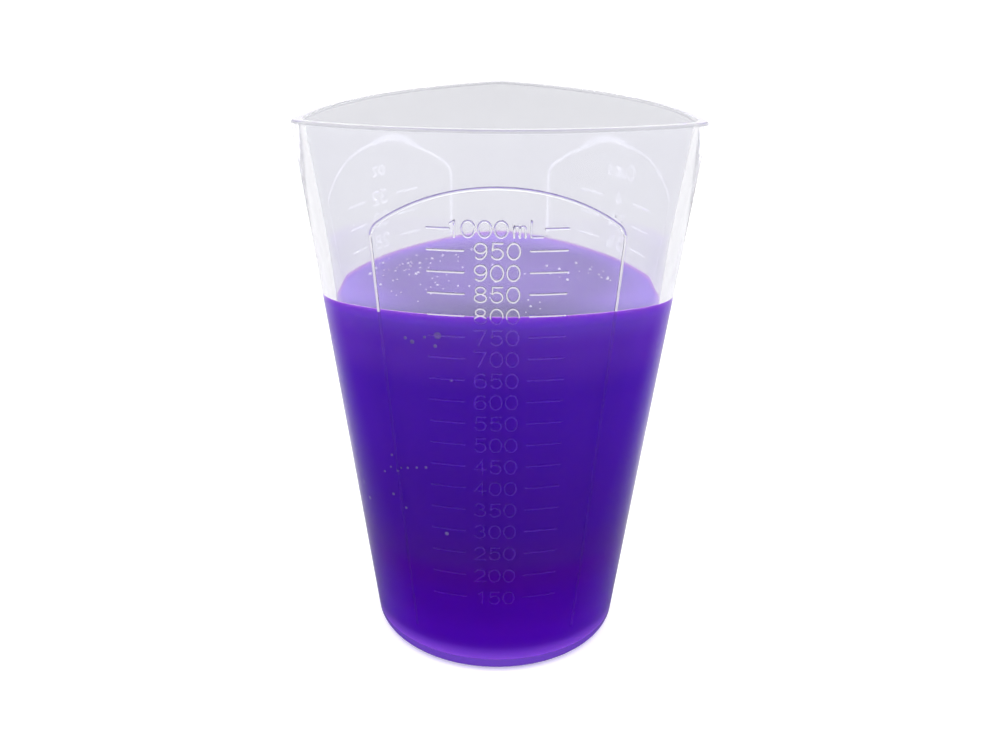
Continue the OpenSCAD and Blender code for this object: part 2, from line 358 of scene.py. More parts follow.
def addMath(tree, operation, first, second):
    made = tree.nodes.new("ShaderNodeMath")
    made.operation = operation
    tree.links.new(first, made.inputs[0])
    if isinstance(second, float):
        made.inputs[1].default_value = second
    else:
        tree.links.new(second, made.inputs[1])
    return made.outputs["Value"]


def addPlace(tree, source):
    place = tree.nodes.new("ShaderNodeTexCoord")
    split = tree.nodes.new("ShaderNodeSeparateXYZ")
    tree.links.new(place.outputs[source], split.inputs["Vector"])
    return place.outputs[source], split


def addBump(tree, shader, height, distance, strength):
    bump = tree.nodes.new("ShaderNodeBump")
    bump.inputs["Distance"].default_value = distance
    bump.inputs["Strength"].default_value = strength
    tree.links.new(height, bump.inputs["Height"])
    tree.links.new(bump.outputs["Normal"], shader.inputs["Normal"])


def addExitTint(tree, colour, tint):
    side = tree.nodes.new("ShaderNodeNewGeometry")
    path = tree.nodes.new("ShaderNodeLightPath")
    sight = addMath(tree, "LESS_THAN", path.outputs["Diffuse Depth"], 0.5)
    leaving = addMath(tree, "MULTIPLY", side.outputs["Backfacing"], sight)
    return addColourMix(tree, leaving, colour, tint)


def milkyPlastic(name, look):
    material, tree, shader = newMaterial(name)
    mottle = addMottle(tree, look)
    colour = addColourMix(tree, mottle.outputs["Mottle"], look["clear"], look["milky"])
    if "far" in look:
        side = tree.nodes.new("ShaderNodeNewGeometry")
        # painted shade: faces turned towards the eye take the darker far colour
        colour = addColourMix(tree, side.outputs["Backfacing"], look["far"], colour)
        haze = addColourMix(tree, side.outputs["Backfacing"], (0, 0, 0), look["haze"])
        tree.links.new(haze, shader.inputs["Emission Color"])   # painted light: emission where a face is seen from behind, for light scattered in the milky plastic
        shader.inputs["Emission Strength"].default_value = 1.0
    if "exit" in look:
        colour = addExitTint(tree, colour, look["exit"])
    tree.links.new(colour, shader.inputs["Base Color"])
    if "faint" in look:
        side = tree.nodes.new("ShaderNodeNewGeometry")
        seen = addRange(tree, side.outputs["Backfacing"], *look["faint"])
        tree.links.new(seen, shader.inputs["Alpha"])            # a bead across the cup hardly shows
    rough = addRange(tree, mottle.outputs["Mottle"], look["smooth"], look["rough"])
    tree.links.new(rough, shader.inputs["Roughness"])
    addBump(tree, shader, mottle.outputs["Height"], look["bumpDepth"], look["bumpStrength"])
    shader.inputs["IOR"].default_value = look["ior"]
    shader.inputs["Transmission Weight"].default_value = look["transmission"]
    shader.inputs["Specular Tint"].default_value = (*look["mirror"], 1)
    return material


wallLook = {
    "clear": (0.97, 0.97, 0.985),
    "milky": (0.93, 0.93, 0.96),
    "smooth": 0.04,
    "rough": 0.08,
    "ior": 1.41,
    "transmission": 1.0,
    "mirror": (1.0, 1.0, 1.0),
    "streakScale": 18.0,
    "grainScale": 700.0,
    "grainShare": 0.2,
    "bumpDepth": 0.0004,
    "bumpStrength": 0.05,
}
frostAndPaintedLightLook = {
    **wallLook,
    "clear": (0.97, 0.97, 0.99),
    "milky": (0.93, 0.93, 0.97),
    # painted shade on the far wall, and a painted glow on the near wall
    "far": (0.76, 0.76, 0.80),
    "haze": (0.065, 0.065, 0.070),
    "smooth": 0.05,
    "rough": 0.09,
    "transmission": 0.90,
}
rimPaintedLightLook = {
    **frostAndPaintedLightLook,
    "clear": (0.84, 0.84, 0.87),
    "milky": (0.79, 0.79, 0.83),
    "far": (0.50, 0.50, 0.53),
    # painted highlight: the rim glows where seen from behind
    "haze": (0.65, 0.65, 0.66),
    "transmission": 0.5,
}
crownPaintedLightLook = {
    **wallLook,
    "clear": (0.80, 0.80, 0.81),
    "milky": (0.70, 0.70, 0.72),
    "far": (0.66, 0.65, 0.66),
    # painted light: a crown glows where seen from behind, so a stroke shows a pale core
    "haze": (1.7, 1.7, 1.78),
    "grainShare": 0.5,
    "mirror": (0.0, 0.0, 0.0),
    "transmission": 0.45,
}
outsideLook = {**wallLook, "exit": (0.39, 0.39, 0.405)}     # seen from within, light leaves it dimmed: painted shade on what shows through the wall
clearWall = milkyPlastic("clearOutside", outsideLook)
frostedInsidePaintedLight = milkyPlastic("frostedInsidePaintedLight", frostAndPaintedLightLook)
# painted reflection: the wetted outside's gloss is tinted violet
wetOutside = milkyPlastic("wettedOutside", {**outsideLook, "mirror": (0.85, 0.5, 0.95)})
wetInside = milkyPlastic("wettedInside", {**wallLook, "mirror": (0.0, 0.0, 0.0), "bumpStrength": 0.0})
milkyRimPaintedLight = milkyPlastic("milkyRimPaintedLight", rimPaintedLightLook)
markLook = {**wallLook, "grainShare": 0.5, "mirror": (0.0, 0.0, 0.0)}
# painted shade: a bead's flanks are darker and more violet than its crown
shadedFlankLook = {**markLook, "clear": (0.62, 0.60, 0.68), "milky": (0.58, 0.56, 0.64)}
clearMark = milkyPlastic("raisedMark", markLook)
dryShadedFlank = milkyPlastic("markShadedFlank", shadedFlankLook)
# painted shade: a contact shadow line along the lowest rows of the foot
footShadeLook = {**wallLook, "clear": (0.50, 0.40, 0.56), "milky": (0.42, 0.34, 0.50), "mirror": (0.0, 0.0, 0.0)}
footShadeWall = milkyPlastic("footEdge", footShadeLook)
dryCrown = milkyPlastic("paleCrownPaintedLight", crownPaintedLightLook)
# the back panels' beads: share seen from outside, and across the cup
farMark = milkyPlastic("farMark", {**markLook, "faint": (1.0, 0.25)})
farBack = milkyPlastic("farBack", {**markLook, "faint": (0.25, 1.0)})
farCrown = milkyPlastic("farCrown", {**crownPaintedLightLook, "faint": (1.0, 0.42)})
clearArch = milkyPlastic("clearArch", {**markLook, "ior": 1.2})


def addTones(tree, lighten):
    tones = tree.nodes.new("ShaderNodeGroup")
    tones.node_tree = resinTonesAndPaintedLight
    tones.inputs["Lighten"].default_value = lighten
    return tones.outputs["Colour"]


def resinBehind(name, look, lighten, share):
    material, tree, shader = newMaterial(name)
    mottle = addMottle(tree, look)
    haze = addRange(tree, mottle.outputs["Mottle"], 0.0, 0.016)
    lit = addColourMix(tree, haze, addTones(tree, lighten), look["milky"])
    tree.links.new(lit, shader.inputs["Base Color"])
    shader.inputs["Roughness"].default_value = 0.5
    shader.inputs["Specular IOR Level"].default_value = 0.0
    shader.inputs["Alpha"].default_value = share
    addBump(tree, shader, mottle.outputs["Height"], look["bumpDepth"], look["bumpStrength"])
    return material


# below the resin's level a bead is a faint tint over what is behind it; its flanks and the border are
# painted darker than the crowns, painted shade
wetCrown = resinBehind("violetCrown", crownPaintedLightLook, 0.95, 0.35)
wetShadedFlank = resinBehind("violetShadedFlank", crownPaintedLightLook, 0.5, 0.15)
wetBorder = resinBehind("violetBorder", crownPaintedLightLook, 0.6, 0.15)

# the cup: one closed shell, outside up, over the rim and down the inside
contactZ = resin["level"] + resin["meniscus"]
shellMaterials = {
    "clear": clearWall,
    "rim": milkyRimPaintedLight,
    "frostedPaintedLight": frostedInsidePaintedLight,
    "wetInside": wetInside,
    "foot": footShadeWall,
    "wetOutside": wetOutside,
}
shellIndex = {name: i for i, name in enumerate(shellMaterials)}


def buildCup():
    bm = bmesh.new()
    foot = footEdge(outer, 0, cup["footRound"], 0)
    outside = shrunkRings(foot[0], cup["discShares"]) + foot
    outside += straightWall(outer, cup["footRound"], contactZ, 0)
    outside.append(levelRing(outer, contactZ, 0))
    firstClear = len(outside) - 1
    outside += straightWall(outer, contactZ, cup["height"] - cup["rimRound"], 0)
    rim = rimEdge(outer, cup["rimRound"], -1) + rimEdge(inner, cup["rimRound"], 1)[::-1]
    dry = straightWall(inner, contactZ, cup["height"] - cup["rimRound"], 0)[::-1]
    corner = footEdge(inner, cup["floor"], cup["floorRound"], 0)[::-1]
    wet = [levelRing(inner, contactZ, 0)]
    wet += straightWall(inner, cup["floor"] + cup["floorRound"], contactZ, 0)[::-1]
    wet += corner + shrunkRings(corner[-1], cup["discShares"][::-1])
    rings = outside + rim + dry + wet
    faces = loft(bm, rings, (0, 0, 0), (0, 0, cup["floor"]))
    firstRim = len(outside)
    firstDry = firstRim + len(rim)
    firstWet = firstDry + len(dry)
    firstFoot = len(cup["discShares"])
    firstWall = firstFoot + cup["footRows"]
    for first, last, part in (
        (0, firstFoot, "wetInside"),
        (firstFoot, firstWall, "foot"),
        (firstWall, firstClear, "wetOutside"),
        (firstRim, firstDry - 1, "rim"),
        (firstDry - 1, firstWet, "frostedPaintedLight"),
        (firstWet, len(rings) - 1, "wetInside"),
    ):
        for row in faces[first:last]:
            for face in row:
                face.material_index = shellIndex[part]
    for face in faces[-2] + faces[-1]:
        face.material_index = shellIndex["wetInside"]
    newPiece("cupBody", bm, shellMaterials.values(), "cup", ["cup_shell"])


buildCup()
print("cup: shell made")

# raised borders and scales, each a rounded bead on the wall
panel = {
    "archTop": cup["height"] - 15.5,
    "archRadius": 58.0,
    "shoulderRadius": 6.0,
    "footZ": 14.0,
    "topHalf": 36.8,
    "footHalf": 27.2,
    "borderWidth": 1.0,
    "borderFlat": 0.45,       # width of the flat along a border's crown
    "strokeWidth": 0.68,
    "relief": 0.35,
    "embed": 0.03,            # how far a bead's flat back sits in the wall
    "figureHeight": 5.0,
    "figurePitch": 4.6,
    "headingPitch": 4.0,
    "headRoom": 8.4,          # from the arch's top down to a heading
    "headingDrop": 8.0,       # from a heading down to the highest row under it
    "lineNear": 9.4,
    "lineFar": 19.7,
    "topLineNear": 13.4,      # the 1000 mL row is wider than the others
    "topFigures": 1.1,
    "unitPlace": 8.6,
    "unitPitch": 4.8,
    "cupVolume": 236.588,
    "ounceVolume": 29.5735,
    "pathStep": 0.9,
    "mitreMost": 1.35,
    "capTurns": (28, 56, 84),            # degrees round a stroke's end
    "beadSteps": 12,
    "crownFrom": 4,           # steps up each flank before the pale crown begins
    "farCrownFrom": 2,
    "crownTop": 149.5,        # the front panel's beads are clear above this
}


def wallPoint(s, z, out, turn):
    radius = cup["footRadius"] + (sideRadius - cup["footRadius"]) * z / cup["height"]
    centre = sideOffset * z / cup["height"]
    a = s / radius
    lean = math.atan((sideRadius - cup["footRadius"] - sideOffset * math.cos(a)) / cup["height"])
    reach = radius + out * math.cos(lean)
    x = reach * math.sin(a)
    y = centre - reach * math.cos(a)
    c, t = math.cos(turn), math.sin(turn)
    return (x * c - y * t, x * t + y * c, z - out * math.sin(lean))


def fillIn(path, closed, step):
    points = []
    pairs = list(zip(path, path[1:] + path[:1])) if closed else list(zip(path, path[1:]))
    for (x1, y1), (x2, y2) in pairs:
        count = max(1, math.ceil(math.hypot(x2 - x1, y2 - y1) / step))
        points += [(x1 + (x2 - x1) * i / count, y1 + (y2 - y1) * i / count) for i in range(count)]
    if not closed:
        points.append(path[-1])
    return points


def stations(points, closed, width):
    made = []                # place, across, along, share of the width, share of the relief
    count = len(points)
    for i, (x, y) in enumerate(points):
        before = points[i - 1] if i or closed else points[i]
        after = points[(i + 1) % count] if i < count - 1 or closed else points[i]
        first = Vector((x - before[0], y - before[1]))
        second = Vector((after[0] - x, after[1] - y))
        first = (first if first.length > 1e-6 else second).normalized()
        second = (second if second.length > 1e-6 else first).normalized()
        along = (first + second).normalized()
        mitre = min(panel["mitreMost"], 1 / max(0.5, along.dot(first)))
        made.append((Vector((x, y)), Vector((along.y, -along.x)), along, mitre, 1.0))
    if closed:
        return made
    ends = []
    for at, sign in ((made[0], -1), (made[-1], 1)):
        cap = []
        for degrees in panel["capTurns"]:
            b = math.radians(degrees)
            place = at[0] + at[2] * (sign * math.sin(b) * width / 2)
            cap.append((place, at[1], at[2], math.cos(b), math.cos(b)))
        ends.append(cap)
    return ends[0][::-1] + made + ends[1]


def beadCut(width, flat):
    cut = []
    for i in range(panel["beadSteps"] + 1):
        a = math.pi * i / panel["beadSteps"]
        w = -math.cos(a) * (width / 2 - flat / 2)
        w += -flat / 2 if a < math.pi / 2 - 1e-6 else flat / 2 if a > math.pi / 2 + 1e-6 else 0
        cut.append((w, math.sin(a) * panel["relief"]))
    return cut


beadIndex = {"clear": 0, "dryCrown": 1, "dryShadedFlank": 2, "wetCrown": 3, "wetShadedFlank": 4, "back": 5}


def addBead(bm, path, closed, turn, width, flat=0.0):
    points = fillIn(path, closed, panel["pathStep"])
    crownTop = panel["crownTop"] if turn == 0 else cup["height"]
    cut = beadCut(width, flat)
    rings = []
    for at, across, along, wide, tall in stations(points, closed, width):
        ring = []
        for w, h in cut:
            s, z = at + across * (w * wide)
            ring.append(bm.verts.new(wallPoint(s, z, h * tall, turn)))
        for w in (width / 2, -width / 2):
            s, z = at + across * (w * wide)
            ring.append(bm.verts.new(wallPoint(s, z, -panel["embed"], turn)))
        rings.append(ring)
    count = len(rings[0])
    crownFrom = panel["farCrownFrom"] if turn else panel["crownFrom"]
    crown = range(crownFrom, panel["beadSteps"] - crownFrom)
    pairs = list(zip(rings, rings[1:])) + ([(rings[-1], rings[0])] if closed else [])
    for low, high in pairs:
        for i in range(count):
            n = (i + 1) % count
            face = bm.faces.new((low[i], low[n], high[n], high[i]))
            wet = low[i].co.z < contactZ
            clear = low[i].co.z > crownTop
            if i == count - 2:
                part = "wetShadedFlank" if wet else "back"
            elif i in crown:
                part = "wetCrown" if wet else "clear" if clear else "dryCrown"
            else:
                part = "wetShadedFlank" if wet else "clear" if clear else "dryShadedFlank"
            face.material_index = beadIndex[part]
    if not closed:
        bm.faces.new(rings[0][::-1])
        bm.faces.new(rings[-1])


def arc(x, y, rx, ry, start, end, steps=22):
    made = []
    for i in range(steps + 1):
        a = math.radians(start + (end - start) * i / steps)
        made.append((x + rx * math.cos(a), y + ry * math.sin(a)))
    return made


def loop(x, y, rx, ry):
    return arc(x, y, rx, ry, 0, 360, 34)[:-1]


# each figure is a list of (path, closed) on a box four wide and five high
figures = {
    "0": [(loop(0, 0, 1.78, 2.28), True)],
    "1": [([(-0.4, 1.45), (0.75, 2.3), (0.75, -2.3)], False)],
    "2": [(arc(0, 0.85, 1.55, 1.4, 165, -35) + [(-1.6, -2.25), (1.65, -2.25)], False)],
    "3": [(arc(-0.1, 1.15, 1.35, 1.1, 150, -80) + arc(-0.1, -1.05, 1.65, 1.2, 85, -150), False)],
    "4": [([(0.7, -2.25), (0.7, 2.25), (-1.65, -0.9), (1.65, -0.9)], False)],
    "5": [([(1.45, 2.25), (-1.15, 2.25), (-1.3, 0.3)] + arc(0, -0.75, 1.65, 1.5, 138, -150), False)],
    "6": [(arc(0.2, 0, 1.85, 2.25, 55, 175) + arc(0, -0.85, 1.65, 1.4, 180, 525), False)],
    "7": [([(-1.6, 2.25), (1.6, 2.25), (-0.5, -2.25)], False)],
    "8": [(loop(0, 1.2, 1.35, 1.05), True), (loop(0, -1.05, 1.68, 1.2), True)],
    "9": [(arc(-0.2, 0, 1.85, 2.25, 235, 355) + arc(0, 0.85, 1.65, 1.4, 0, 345), False)],
    "m": [
        ([(-1.6, -2.25), (-1.6, 0.8)], False),
        (arc(-0.8, 0, 0.8, 0.8, 170, 0, 12) + [(0, -2.25)], False),
        (arc(0.8, 0, 0.8, 0.8, 170, 0, 12) + [(1.6, -2.25)], False),
    ],
    "L": [([(-1.6, 2.25), (-1.6, -2.25), (1.6, -2.25)], False)],
    "C": [(arc(0, 0, 1.78, 2.28, 42, 318), False)],
    "u": [
        ([(-1.2, 0.8)] + arc(0, -1.05, 1.2, 1.2, 180, 350, 14), False),
        ([(1.2, -2.25), (1.2, 0.8)], False),
    ],
    "p": [(loop(0, -0.8, 1.35, 1.4), True), ([(-1.35, -3.6), (-1.35, 0.8)], False)],
    "s": [(arc(0, -0.05, 0.9, 0.75, 20, 265, 14) + arc(0, -1.55, 0.9, 0.75, 85, -160, 14), False)],
    "o": [(loop(0, -0.8, 1.4, 1.45), True)],
    "z": [([(-1.2, 0.6), (1.2, 0.6), (-1.2, -2.25), (1.2, -2.25)], False)],
    "/": [([(-0.9, -2.25), (0.9, 2.25)], False)],
}


def addFigure(bm, name, s, z, size, turn):
    k = size / 5
    for path, closed in figures[name]:
        placed = [(s + x * k, z + y * k) for x, y in path]
        addBead(bm, placed, closed, turn, panel["strokeWidth"])


def addWord(bm, word, s, z, pitch, turn):
    for i, name in enumerate(word):
        addFigure(bm, name, s + (i - (len(word) - 1) / 2) * pitch, z, panel["figureHeight"], turn)


def addLines(bm, z, near, turn):
    for side in (-1, 1):
        addBead(bm, [(side * near, z), (side * panel["lineFar"], z)], False, turn, panel["strokeWidth"])


# volume under a height: the level cut's area is a quadratic in the share of the height
mouth = levelRing(inner, cup["height"], 0)
pairs = list(zip(mouth, mouth[1:] + mouth[:1]))
mouthArea = abs(sum(p[0] * q[1] - p[1] * q[0] for p, q in pairs)) / 2
mouthGirth = sum(math.dist(p, q) for p, q in pairs)


def volumeTo(z):
    u = z / cup["height"]
    r = inner["footRadius"]
    foot = math.pi * r * r * (u - u * u + u ** 3 / 3)
    flank = r * mouthGirth * (u * u / 2 - u ** 3 / 3)
    return cup["height"] / 1000 * (foot + flank + mouthArea * u ** 3 / 3)


def heightOf(millilitres):
    low, high = 0.0, cup["height"]
    for _ in range(40):
        middle = (low + high) / 2
        if volumeTo(middle) - volumeTo(cup["floor"]) < millilitres:
            low = middle
        else:
            high = middle
    return (low + high) / 2


def borderPath():
    mid = panel["archTop"] - panel["archRadius"]
    shoulder = mid + math.sqrt(panel["archRadius"] ** 2 - panel["topHalf"] ** 2)
    tilt = math.atan((panel["topHalf"] - panel["footHalf"]) / (shoulder - panel["footZ"]))
    edge = panel["footHalf"] - panel["shoulderRadius"] / math.cos(tilt)
    edge += (mid - panel["footZ"]) * math.tan(tilt)
    a = 1 + math.tan(tilt) ** 2
    b = edge * math.tan(tilt)
    c = edge * edge - (panel["archRadius"] - panel["shoulderRadius"]) ** 2
    rise = (-b + math.sqrt(b * b - a * c)) / a
    x, y = edge + rise * math.tan(tilt), mid + rise
    top = math.degrees(math.atan2(rise, x))
    r = panel["shoulderRadius"]
    half = [(panel["footHalf"], panel["footZ"])]
    half += arc(x, y, r, r, -math.degrees(tilt), top, 12)
    half += arc(0, mid, panel["archRadius"], panel["archRadius"], top, 90, 30)[1:]
    return half + [(-x, y) for x, y in half[-2::-1]]


border = borderPath()
headZ = panel["archTop"] - panel["headRoom"]
topRow = headZ - panel["headingDrop"]


def newMarks(name, node, turn, draw):
    bm = bmesh.new()
    draw(bm, math.radians(turn))
    clear = clearArch if draw == drawBorder else clearMark
    dry = [farMark, farCrown, farMark] if turn else [clear, dryCrown, dryShadedFlank]
    wet = [wetBorder, wetBorder] if draw == drawBorder else [wetCrown, wetShadedFlank]
    flat = farBack if turn else clearMark
    newPiece(name, bm, [*dry, *wet, flat], "cup", [node])


def drawBorder(bm, turn):
    addBead(bm, border, False, turn, panel["borderWidth"], panel["borderFlat"])


def drawMillilitres(bm, turn):
    for value in range(150, 1000, 50):
        addWord(bm, str(value), 0, heightOf(value), panel["figurePitch"], turn)
        addLines(bm, heightOf(value), panel["lineNear"], turn)
    top = heightOf(1000)
    for i, name in enumerate("1000"):
        place = panel["topFigures"] - (3 - i) * panel["figurePitch"]
        addFigure(bm, name, place, top, panel["figureHeight"], turn)
    addWord(bm, "mL", panel["unitPlace"], top, panel["unitPitch"], turn)
    addLines(bm, top, panel["topLineNear"], turn)


fraction = {
    "across": 1.5,
    "up": 1.2,
    "figureHeight": 2.5,
    "slashHeight": 4.5,
    "wholePlace": -2.6,
    "besideWhole": 2.2,
}


def addFraction(bm, quarters, s, z, turn):
    across, up, size = fraction["across"], fraction["up"], fraction["figureHeight"]
    addFigure(bm, "3" if quarters == 3 else "1", s - across, z + up, size, turn)
    addFigure(bm, "/", s, z, fraction["slashHeight"], turn)
    addFigure(bm, "2" if quarters == 2 else "4", s + across, z - up, size, turn)


def drawCups(bm, turn):
    for quarter in range(2, 40):
        z = heightOf(quarter * panel["cupVolume"] / 4)
        if z > topRow:
            break
        whole, quarters = divmod(quarter, 4)
        if whole:
            place = fraction["wholePlace"] if quarters else 0
            addFigure(bm, str(whole), place, z, panel["figureHeight"], turn)
        if quarters:
            addFraction(bm, quarters, fraction["besideWhole"] if whole else 0, z, turn)
        addLines(bm, z, panel["lineNear"], turn)
    addWord(bm, "Cups", 0, headZ, panel["headingPitch"], turn)


def drawOunces(bm, turn):
    for value in range(4, 60, 2):
        z = heightOf(value * panel["ounceVolume"])
        if z > topRow:
            break
        addWord(bm, str(value), 0, z, panel["figurePitch"], turn)
        addLines(bm, z, panel["lineNear"], turn)
    addWord(bm, "oz", 0, headZ, panel["headingPitch"], turn)


newMarks("borderMillilitres", "border_ml", 0, drawBorder)
newMarks("borderCups", "border_cups", 120, drawBorder)
newMarks("borderOunces", "border_oz", 240, drawBorder)
newMarks("scaleMillilitres", "scale_ml", 0, drawMillilitres)
newMarks("scaleCups", "scale_cups", 120, drawCups)
newMarks("scaleOunces", "scale_oz", 240, drawOunces)
print("cup: borders and scales made")

# the resin: fills the cavity to its level, with a meniscus round the wall


def violetResin(look):
    material, tree, shader = newMaterial("violetResin")
    mottle = addMottle(tree, look)
    place, split = addPlace(tree, "Object")
    flat = tree.nodes.new("ShaderNodeVectorMath")
    flat.operation = "MULTIPLY"
    flat.inputs[1].default_value = (1, 1, 0)
    reach = tree.nodes.new("ShaderNodeVectorMath")
    reach.operation = "LENGTH"
    tree.links.new(place, flat.inputs[0])
    tree.links.new(flat.outputs["Vector"], reach.inputs[0])
    # painted light on the free surface towards the wall, painted shade towards the front panel
    edge = addMask(tree, reach.outputs["Value"], *look["lightEdge"], "SMOOTHSTEP")
    surface = addColourMix(tree, edge, look["surface"], look["surfaceEdgePaintedLight"])
    front = addMask(tree, split.outputs["Y"], *look["darkFront"], "SMOOTHSTEP")
    shaded = addProduct(tree, surface, addColourMix(tree, front, (1, 1, 1), look["frontShade"]))
    facing = tree.nodes.new("ShaderNodeNewGeometry")
    upward = tree.nodes.new("ShaderNodeSeparateXYZ")
    tree.links.new(facing.outputs["True Normal"], upward.inputs["Vector"])
    # the free surface and the sides take different painted colours
    top = addMask(tree, upward.outputs["Z"], *look["levelNormal"])
    either = addColourMix(tree, top, addTones(tree, 1.0), shaded)
    clouds = addColourMix(tree, mottle.outputs["Mottle"], look["clouds"], (1, 1, 1))
    tree.links.new(addProduct(tree, either, clouds), shader.inputs["Base Color"])
    glow = addMask(tree, split.outputs["Z"], look["glowTop"] / 1000, look["glowFull"] / 1000)
    lit = addColourMix(tree, glow, (0, 0, 0), look["glow"])
    tree.links.new(lit, shader.inputs["Emission Color"])     # stands for light from the table
    shader.inputs["Emission Strength"].default_value = 1.0
    addBump(tree, shader, mottle.outputs["Height"], look["bumpDepth"], look["bumpStrength"])
    gloss = addRange(tree, top, 0.0, look["gloss"])
    tree.links.new(gloss, shader.inputs["Coat Weight"])      # only the free surface is glossy
    shader.inputs["Coat Roughness"].default_value = 0.03
    shader.inputs["Coat IOR"].default_value = look["ior"]
    shader.inputs["Roughness"].default_value = 0.6
    shader.inputs["Specular IOR Level"].default_value = 0.0
    shader.inputs["Subsurface Weight"].default_value = 1.0
    shader.inputs["Subsurface Radius"].default_value = (0.6, 0.25, 1.0)
    shader.inputs["Subsurface Scale"].default_value = 0.02
    return material


def surfaceZ(distance):
    return resin["level"] + resin["meniscus"] * math.exp(-distance / resin["meniscusWidth"])


def buildResin():
    bm = bmesh.new()
    seat = resin["seat"]
    corner = footEdge(inner, cup["floor"] - seat, cup["floorRound"], seat)
    rings = shrunkRings(corner[0], cup["discShares"]) + corner
    rings += straightWall(inner, cup["floor"] + cup["floorRound"], contactZ, seat)
    rings.append(levelRing(inner, contactZ, seat))
    for distance in resin["ringsIn"]:
        rings.append(levelRing(inner, surfaceZ(distance), -distance))
    rings += shrunkRings(rings[-1], resin["surfaceShares"])
    loft(bm, rings, (0, 0, cup["floor"] - seat), (0, 0, resin["level"]))
    newPiece("resinBody", bm, [violetResin(resinLook)], "resin", ["resin_fill"])


buildResin()
print("cup: resin made")

# bubbles and dust, each a small flattened dome
bubbles = {
    "size": 0.55,
    "wallHeight": 0.18,
    "inResin": (               # point of the level cut, height, size against the usual
        (25, 119.9, 2.2), (17, 117.2, 1.3), (15, 118.2, 1.0), (21, 119.0, 0.9), (24, 116.5, 1.1),
        (28, 105.8, 0.8), (1, 77.5, 0.9), (4, 73.5, 0.7), (7, 74.0, 0.8), (11, 74.7, 0.8),
        (15, 75.3, 0.9), (-22, 62.0, 1.0), (-30, 52.4, 1.6), (-19, 57.0, 1.1), (-3, 63.0, 1.0),
        (2, 59.0, 0.9), (2, 72.1, 0.9), (-1, 73.0, 0.7), (-5, 70.7, 0.8), (20, 52.2, 1.3),
    ),
    "onSurface": (             # centre, spread and count of each drift of foam on the resin
        (-38.0, 8.0, 8.0, 48), (-30.0, -12.0, 10.0, 24), (-24.0, 22.0, 7.0, 16), (28.0, 4.0, 6.0, 14),
        (38.0, -4.0, 4.0, 8), (-8.0, -20.0, 13.0, 14), (14.0, -36.0, 4.0, 6),
    ),
    "foamSizes": (0.2, 0.22, 0.25, 0.3, 0.42),
    "foamReach": 42,          # no foam further from the axis
    "domeRings": ((1.0, -0.4), (1.0, 0.0), (0.87, 0.5), (0.5, 0.87)),    # shares of radius and height
    "domeSides": 12,
    "dustSize": 0.16,
    "dustHeight": 0.06,
    "onWall": ((-30.8, 175.8), (-32.6, 162.6), (-46.4, 153.0), (-41.6, 151.5), (-44.0, 152.6)),
}


def speckLook(name, low, high, rough):
    material, tree, shader = newMaterial(name)
    mottle = addMottle(tree, {"streakScale": 900.0, "grainScale": 2500.0, "grainShare": 0.5})
    tree.links.new(addColourMix(tree, mottle.outputs["Mottle"], low, high), shader.inputs["Base Color"])
    addBump(tree, shader, mottle.outputs["Height"], 0.0001, 0.2)
    shader.inputs["Roughness"].default_value = rough
    return material


def addDome(bm, centre, normal, radius, height):
    side = normal.orthogonal().normalized()
    up = normal.cross(side)
    rings = []
    for share, rise in bubbles["domeRings"]:
        ring = []
        for k in range(bubbles["domeSides"]):
            a = math.tau * k / bubbles["domeSides"]
            out = (side * math.cos(a) + up * math.sin(a)) * radius * share
            ring.append(centre + out + normal * (height * rise))
        rings.append(ring)
    loft(bm, rings, centre - normal * (height * 0.4), centre + normal * height)


def panelNormal(s, z):
    here = Vector(wallPoint(s, z, 0, 0))
    return (Vector(wallPoint(s, z, 1, 0)) - here).normalized()


def buildBubbles():
    random.seed(7)
    bm = bmesh.new()
    for i, z, size in bubbles["inResin"]:
        ring = levelRing(inner, z, 0)
        along = Vector(ring[i + 1]) - Vector(ring[i - 1])
        out = along.cross(Vector((0, 0, 1))).normalized()
        addDome(bm, Vector(ring[i]), out, bubbles["size"] * size, bubbles["wallHeight"])
    skin = speckLook("bubbleSkin", (0.14, 0.075, 0.36), (0.20, 0.12, 0.42), 0.4)
    newPiece("resinBubbles", bm, [skin], "resin", None)
    foam = bmesh.new()
    for x, y, spread, count in bubbles["onSurface"]:
        for _ in range(count):
            place = Vector((random.gauss(x, spread), random.gauss(y, spread), resin["level"]))
            size = random.choice(bubbles["foamSizes"])
            if place.xy.length < bubbles["foamReach"]:
                addDome(foam, place, Vector((0, 0, 1)), size, size)
    white = speckLook("foamDots", (0.8, 0.76, 0.9), (0.95, 0.93, 1), 0.3)
    newPiece("resinFoam", foam, [white], "resin", None)
    dust = bmesh.new()
    for s, z in bubbles["onWall"]:
        centre = Vector(wallPoint(s, z, 0, 0))
        addDome(dust, centre, panelNormal(s, z), bubbles["dustSize"], bubbles["dustHeight"])
    grey = speckLook("greyDust", (0.3, 0.3, 0.32), (0.45, 0.45, 0.47), 0.8)
    newPiece("wallDust", dust, [grey], "cup", None)


buildBubbles()
print("cup: bubbles and dust made")


# floor, light and camera
room = {
    "floorSize": 12.0,
    "floorDrop": 0.0002,
    "washedOut": 0.25,        # added to the floor where it is seen directly
    "floorDim": (0.10, -0.05),           # mirrored rays see the floor go dark between these
    "worldDim": (0.2, -0.2),
    "brightness": 1.45,
    "dimBrightness": 0.1,
}


def dimRoom(tree, away):
    path = tree.nodes.new("ShaderNodeLightPath")
    mirrored = addMath(tree, "GREATER_THAN", path.outputs["Glossy Depth"], 0.5)
    outside = addMath(tree, "LESS_THAN", path.outputs["Transmission Depth"], 0.5)
    return addMath(tree, "MULTIPLY", addMath(tree, "MULTIPLY", mirrored, outside), away)


